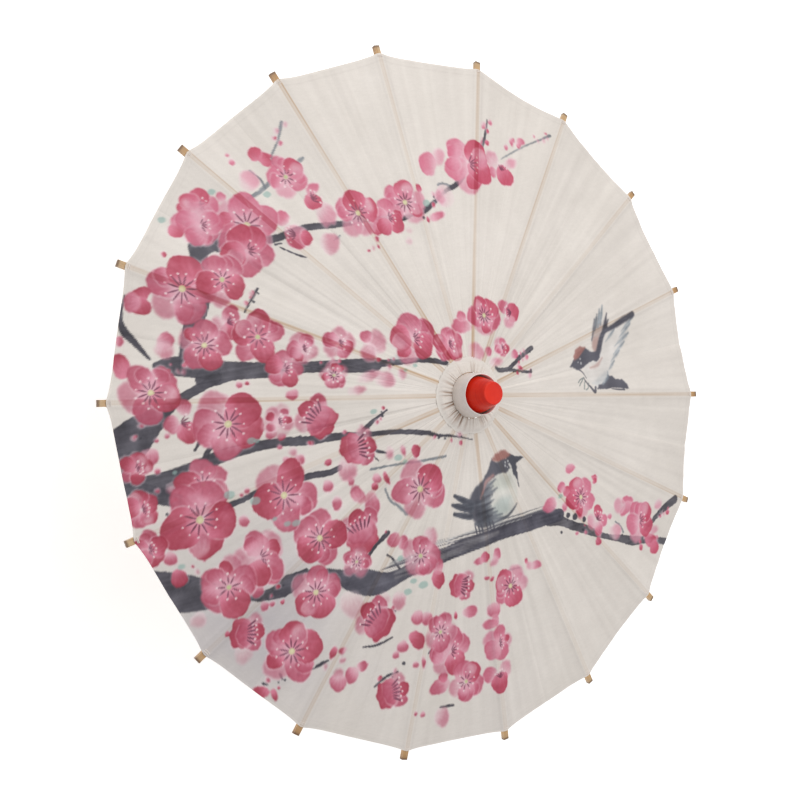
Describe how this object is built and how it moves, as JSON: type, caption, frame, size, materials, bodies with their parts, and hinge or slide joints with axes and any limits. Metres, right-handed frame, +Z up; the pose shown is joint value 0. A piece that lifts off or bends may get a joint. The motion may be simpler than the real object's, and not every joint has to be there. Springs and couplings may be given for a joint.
{
  "type": "oil paper umbrella",
  "caption": "Folding parasol with bamboo ribs and struts, a painted oiled-paper canopy, a red cap and a wooden handle.",
  "frame": {"origin": "middle of the flat foot of the handle", "axes": "+Z up along the shaft towards the cap, +X through rib_01"},
  "size_m": [0.5974, 0.5892, 0.4],
  "materials": {
    "bamboo": "smooth split bamboo, satin",
    "dark_bamboo": "smoked split bamboo, satin",
    "turned_wood": "turned and oiled",
    "oiled_paper": "oiled bast paper, hand painted",
    "red_cap": "glossy red",
    "steel_wire": "drawn wire"
  },
  "bodies": {
    "frame": {"shaft": "bamboo", "head": "turned_wood", "head_peg": "dark_bamboo", "head_wire": "steel_wire", "head_collar": "oiled_paper", "top_cap": "red_cap", "canopy": "oiled_paper", "gather_ring": "oiled_paper", "handle": "turned_wood", "catch_pin": "steel_wire"},
    "catch": {"catch": "steel_wire"},
    "runner": {"runner": "turned_wood", "runner_wire": "steel_wire"},
    "rib_01": {"rib_01": "bamboo"},
    "strut_01": {"strut_01": "dark_bamboo"},
    "rib_02": {"rib_02": "bamboo"},
    "strut_02": {"strut_02": "dark_bamboo"},
    "rib_03": {"rib_03": "bamboo"},
    "strut_03": {"strut_03": "dark_bamboo"},
    "rib_04": {"rib_04": "bamboo"},
    "strut_04": {"strut_04": "dark_bamboo"},
    "rib_05": {"rib_05": "bamboo"},
    "strut_05": {"strut_05": "dark_bamboo"},
    "rib_06": {"rib_06": "bamboo"},
    "strut_06": {"strut_06": "dark_bamboo"},
    "rib_07": {"rib_07": "bamboo"},
    "strut_07": {"strut_07": "dark_bamboo"},
    "rib_08": {"rib_08": "bamboo"},
    "strut_08": {"strut_08": "dark_bamboo"},
    "rib_09": {"rib_09": "bamboo"},
    "strut_09": {"strut_09": "dark_bamboo"},
    "rib_10": {"rib_10": "bamboo"},
    "strut_10": {"strut_10": "dark_bamboo"},
    "rib_11": {"rib_11": "bamboo"},
    "strut_11": {"strut_11": "dark_bamboo"},
    "rib_12": {"rib_12": "bamboo"},
    "strut_12": {"strut_12": "dark_bamboo"},
    "rib_13": {"rib_13": "bamboo"},
    "strut_13": {"strut_13": "dark_bamboo"},
    "rib_14": {"rib_14": "bamboo"},
    "strut_14": {"strut_14": "dark_bamboo"},
    "rib_15": {"rib_15": "bamboo"},
    "strut_15": {"strut_15": "dark_bamboo"},
    "rib_16": {"rib_16": "bamboo"},
    "strut_16": {"strut_16": "dark_bamboo"},
    "rib_17": {"rib_17": "bamboo"},
    "strut_17": {"strut_17": "dark_bamboo"},
    "rib_18": {"rib_18": "bamboo"},
    "strut_18": {"strut_18": "dark_bamboo"}
  },
  "joints": [
    {"name": "runner_slide", "type": "slide", "parent": "frame", "child": "runner", "axis": [0, 0, -1], "range_m": [0, 0.2234], "deforming": ["canopy", "gather_ring", "catch"]},
    {"name": "catch_press", "type": "hinge", "parent": "frame", "child": "catch", "pos_m": [0, -0.0022, 0.27181], "axis": [-1, 0, 0], "range_deg": [0, 9], "stiffness_Nm_per_rad": 0.05},
    {"name": "rib_01_hinge", "type": "hinge", "parent": "frame", "child": "rib_01", "pos_m": [0.015, 0, 0.3655], "axis": [0, 1, 0], "range_deg": [0, 79]},
    {"name": "strut_01_hinge", "type": "hinge", "parent": "rib_01", "child": "strut_01", "pos_m": [0.14374, 0, 0.34741], "axis": [0, -1, 0], "range_deg": [0, 158]},
    {"name": "rib_02_hinge", "type": "hinge", "parent": "frame", "child": "rib_02", "pos_m": [0.01409, 0.00513, 0.3655], "axis": [-0.342, 0.9397, 0], "range_deg": [0, 79]},
    {"name": "strut_02_hinge", "type": "hinge", "parent": "rib_02", "child": "strut_02", "pos_m": [0.13507, 0.04916, 0.34741], "axis": [0.342, -0.9397, 0], "range_deg": [0, 158]},
    {"name": "rib_03_hinge", "type": "hinge", "parent": "frame", "child": "rib_03", "pos_m": [0.01149, 0.00964, 0.3655], "axis": [-0.6428, 0.766, 0], "range_deg": [0, 79]},
    {"name": "strut_03_hinge", "type": "hinge", "parent": "rib_03", "child": "strut_03", "pos_m": [0.11011, 0.09239, 0.34741], "axis": [0.6428, -0.766, 0], "range_deg": [0, 158]},
    {"name": "rib_04_hinge", "type": "hinge", "parent": "frame", "child": "rib_04", "pos_m": [0.0075, 0.01299, 0.3655], "axis": [-0.866, 0.5, 0], "range_deg": [0, 79]},
    {"name": "strut_04_hinge", "type": "hinge", "parent": "rib_04", "child": "strut_04", "pos_m": [0.07187, 0.12448, 0.34741], "axis": [0.866, -0.5, 0], "range_deg": [0, 158]},
    {"name": "rib_05_hinge", "type": "hinge", "parent": "frame", "child": "rib_05", "pos_m": [0.00261, 0.01477, 0.3655], "axis": [-0.9848, 0.1736, 0], "range_deg": [0, 79]},
    {"name": "strut_05_hinge", "type": "hinge", "parent": "rib_05", "child": "strut_05", "pos_m": [0.02496, 0.14155, 0.34741], "axis": [0.9848, -0.1736, 0], "range_deg": [0, 158]},
    {"name": "rib_06_hinge", "type": "hinge", "parent": "frame", "child": "rib_06", "pos_m": [-0.00261, 0.01477, 0.3655], "axis": [-0.9848, -0.1736, 0], "range_deg": [0, 79]},
    {"name": "strut_06_hinge", "type": "hinge", "parent": "rib_06", "child": "strut_06", "pos_m": [-0.02496, 0.14155, 0.34741], "axis": [0.9848, 0.1736, 0], "range_deg": [0, 158]},
    {"name": "rib_07_hinge", "type": "hinge", "parent": "frame", "child": "rib_07", "pos_m": [-0.0075, 0.01299, 0.3655], "axis": [-0.866, -0.5, 0], "range_deg": [0, 79]},
    {"name": "strut_07_hinge", "type": "hinge", "parent": "rib_07", "child": "strut_07", "pos_m": [-0.07187, 0.12448, 0.34741], "axis": [0.866, 0.5, 0], "range_deg": [0, 158]},
    {"name": "rib_08_hinge", "type": "hinge", "parent": "frame", "child": "rib_08", "pos_m": [-0.01149, 0.00964, 0.3655], "axis": [-0.6428, -0.766, 0], "range_deg": [0, 79]},
    {"name": "strut_08_hinge", "type": "hinge", "parent": "rib_08", "child": "strut_08", "pos_m": [-0.11011, 0.09239, 0.34741], "axis": [0.6428, 0.766, 0], "range_deg": [0, 158]},
    {"name": "rib_09_hinge", "type": "hinge", "parent": "frame", "child": "rib_09", "pos_m": [-0.01409, 0.00513, 0.3655], "axis": [-0.342, -0.9397, 0], "range_deg": [0, 79]},
    {"name": "strut_09_hinge", "type": "hinge", "parent": "rib_09", "child": "strut_09", "pos_m": [-0.13507, 0.04916, 0.34741], "axis": [0.342, 0.9397, 0], "range_deg": [0, 158]},
    {"name": "rib_10_hinge", "type": "hinge", "parent": "frame", "child": "rib_10", "pos_m": [-0.015, 0, 0.3655], "axis": [0, -1, 0], "range_deg": [0, 79]},
    {"name": "strut_10_hinge", "type": "hinge", "parent": "rib_10", "child": "strut_10", "pos_m": [-0.14374, 0, 0.34741], "axis": [0, 1, 0], "range_deg": [0, 158]},
    {"name": "rib_11_hinge", "type": "hinge", "parent": "frame", "child": "rib_11", "pos_m": [-0.01409, -0.00513, 0.3655], "axis": [0.342, -0.9397, 0], "range_deg": [0, 79]},
    {"name": "strut_11_hinge", "type": "hinge", "parent": "rib_11", "child": "strut_11", "pos_m": [-0.13507, -0.04916, 0.34741], "axis": [-0.342, 0.9397, 0], "range_deg": [0, 158]},
    {"name": "rib_12_hinge", "type": "hinge", "parent": "frame", "child": "rib_12", "pos_m": [-0.01149, -0.00964, 0.3655], "axis": [0.6428, -0.766, 0], "range_deg": [0, 79]},
    {"name": "strut_12_hinge", "type": "hinge", "parent": "rib_12", "child": "strut_12", "pos_m": [-0.11011, -0.09239, 0.34741], "axis": [-0.6428, 0.766, 0], "range_deg": [0, 158]},
    {"name": "rib_13_hinge", "type": "hinge", "parent": "frame", "child": "rib_13", "pos_m": [-0.0075, -0.01299, 0.3655], "axis": [0.866, -0.5, 0], "range_deg": [0, 79]},
    {"name": "strut_13_hinge", "type": "hinge", "parent": "rib_13", "child": "strut_13", "pos_m": [-0.07187, -0.12448, 0.34741], "axis": [-0.866, 0.5, 0], "range_deg": [0, 158]},
    {"name": "rib_14_hinge", "type": "hinge", "parent": "frame", "child": "rib_14", "pos_m": [-0.00261, -0.01477, 0.3655], "axis": [0.9848, -0.1736, 0], "range_deg": [0, 79]},
    {"name": "strut_14_hinge", "type": "hinge", "parent": "rib_14", "child": "strut_14", "pos_m": [-0.02496, -0.14155, 0.34741], "axis": [-0.9848, 0.1736, 0], "range_deg": [0, 158]},
    {"name": "rib_15_hinge", "type": "hinge", "parent": "frame", "child": "rib_15", "pos_m": [0.00261, -0.01477, 0.3655], "axis": [0.9848, 0.1736, 0], "range_deg": [0, 79]},
    {"name": "strut_15_hinge", "type": "hinge", "parent": "rib_15", "child": "strut_15", "pos_m": [0.02496, -0.14155, 0.34741], "axis": [-0.9848, -0.1736, 0], "range_deg": [0, 158]},
    {"name": "rib_16_hinge", "type": "hinge", "parent": "frame", "child": "rib_16", "pos_m": [0.0075, -0.01299, 0.3655], "axis": [0.866, 0.5, 0], "range_deg": [0, 79]},
    {"name": "strut_16_hinge", "type": "hinge", "parent": "rib_16", "child": "strut_16", "pos_m": [0.07187, -0.12448, 0.34741], "axis": [-0.866, -0.5, 0], "range_deg": [0, 158]},
    {"name": "rib_17_hinge", "type": "hinge", "parent": "frame", "child": "rib_17", "pos_m": [0.01149, -0.00964, 0.3655], "axis": [0.6428, 0.766, 0], "range_deg": [0, 79]},
    {"name": "strut_17_hinge", "type": "hinge", "parent": "rib_17", "child": "strut_17", "pos_m": [0.11011, -0.09239, 0.34741], "axis": [-0.6428, -0.766, 0], "range_deg": [0, 158]},
    {"name": "rib_18_hinge", "type": "hinge", "parent": "frame", "child": "rib_18", "pos_m": [0.01409, -0.00513, 0.3655], "axis": [0.342, 0.9397, 0], "range_deg": [0, 79]},
    {"name": "strut_18_hinge", "type": "hinge", "parent": "rib_18", "child": "strut_18", "pos_m": [0.13507, -0.04916, 0.34741], "axis": [-0.342, -0.9397, 0], "range_deg": [0, 158]}
  ],
  "couplings": [
    {"joint": "rib_01_hinge", "follows": "runner_slide", "rad_per_m": 6.171},
    {"joint": "strut_01_hinge", "follows": "runner_slide", "rad_per_m": 12.342},
    {"joint": "rib_02_hinge", "follows": "runner_slide", "rad_per_m": 6.171},
    {"joint": "strut_02_hinge", "follows": "runner_slide", "rad_per_m": 12.342},
    {"joint": "rib_03_hinge", "follows": "runner_slide", "rad_per_m": 6.171},
    {"joint": "strut_03_hinge", "follows": "runner_slide", "rad_per_m": 12.342},
    {"joint": "rib_04_hinge", "follows": "runner_slide", "rad_per_m": 6.171},
    {"joint": "strut_04_hinge", "follows": "runner_slide", "rad_per_m": 12.342},
    {"joint": "rib_05_hinge", "follows": "runner_slide", "rad_per_m": 6.171},
    {"joint": "strut_05_hinge", "follows": "runner_slide", "rad_per_m": 12.342},
    {"joint": "rib_06_hinge", "follows": "runner_slide", "rad_per_m": 6.171},
    {"joint": "strut_06_hinge", "follows": "runner_slide", "rad_per_m": 12.342},
    {"joint": "rib_07_hinge", "follows": "runner_slide", "rad_per_m": 6.171},
    {"joint": "strut_07_hinge", "follows": "runner_slide", "rad_per_m": 12.342},
    {"joint": "rib_08_hinge", "follows": "runner_slide", "rad_per_m": 6.171},
    {"joint": "strut_08_hinge", "follows": "runner_slide", "rad_per_m": 12.342},
    {"joint": "rib_09_hinge", "follows": "runner_slide", "rad_per_m": 6.171},
    {"joint": "strut_09_hinge", "follows": "runner_slide", "rad_per_m": 12.342},
    {"joint": "rib_10_hinge", "follows": "runner_slide", "rad_per_m": 6.171},
    {"joint": "strut_10_hinge", "follows": "runner_slide", "rad_per_m": 12.342},
    {"joint": "rib_11_hinge", "follows": "runner_slide", "rad_per_m": 6.171},
    {"joint": "strut_11_hinge", "follows": "runner_slide", "rad_per_m": 12.342},
    {"joint": "rib_12_hinge", "follows": "runner_slide", "rad_per_m": 6.171},
    {"joint": "strut_12_hinge", "follows": "runner_slide", "rad_per_m": 12.342},
    {"joint": "rib_13_hinge", "follows": "runner_slide", "rad_per_m": 6.171},
    {"joint": "strut_13_hinge", "follows": "runner_slide", "rad_per_m": 12.342},
    {"joint": "rib_14_hinge", "follows": "runner_slide", "rad_per_m": 6.171},
    {"joint": "strut_14_hinge", "follows": "runner_slide", "rad_per_m": 12.342},
    {"joint": "rib_15_hinge", "follows": "runner_slide", "rad_per_m": 6.171},
    {"joint": "strut_15_hinge", "follows": "runner_slide", "rad_per_m": 12.342},
    {"joint": "rib_16_hinge", "follows": "runner_slide", "rad_per_m": 6.171},
    {"joint": "strut_16_hinge", "follows": "runner_slide", "rad_per_m": 12.342},
    {"joint": "rib_17_hinge", "follows": "runner_slide", "rad_per_m": 6.171},
    {"joint": "strut_17_hinge", "follows": "runner_slide", "rad_per_m": 12.342},
    {"joint": "rib_18_hinge", "follows": "runner_slide", "rad_per_m": 6.171},
    {"joint": "strut_18_hinge", "follows": "runner_slide", "rad_per_m": 12.342}
  ]
}
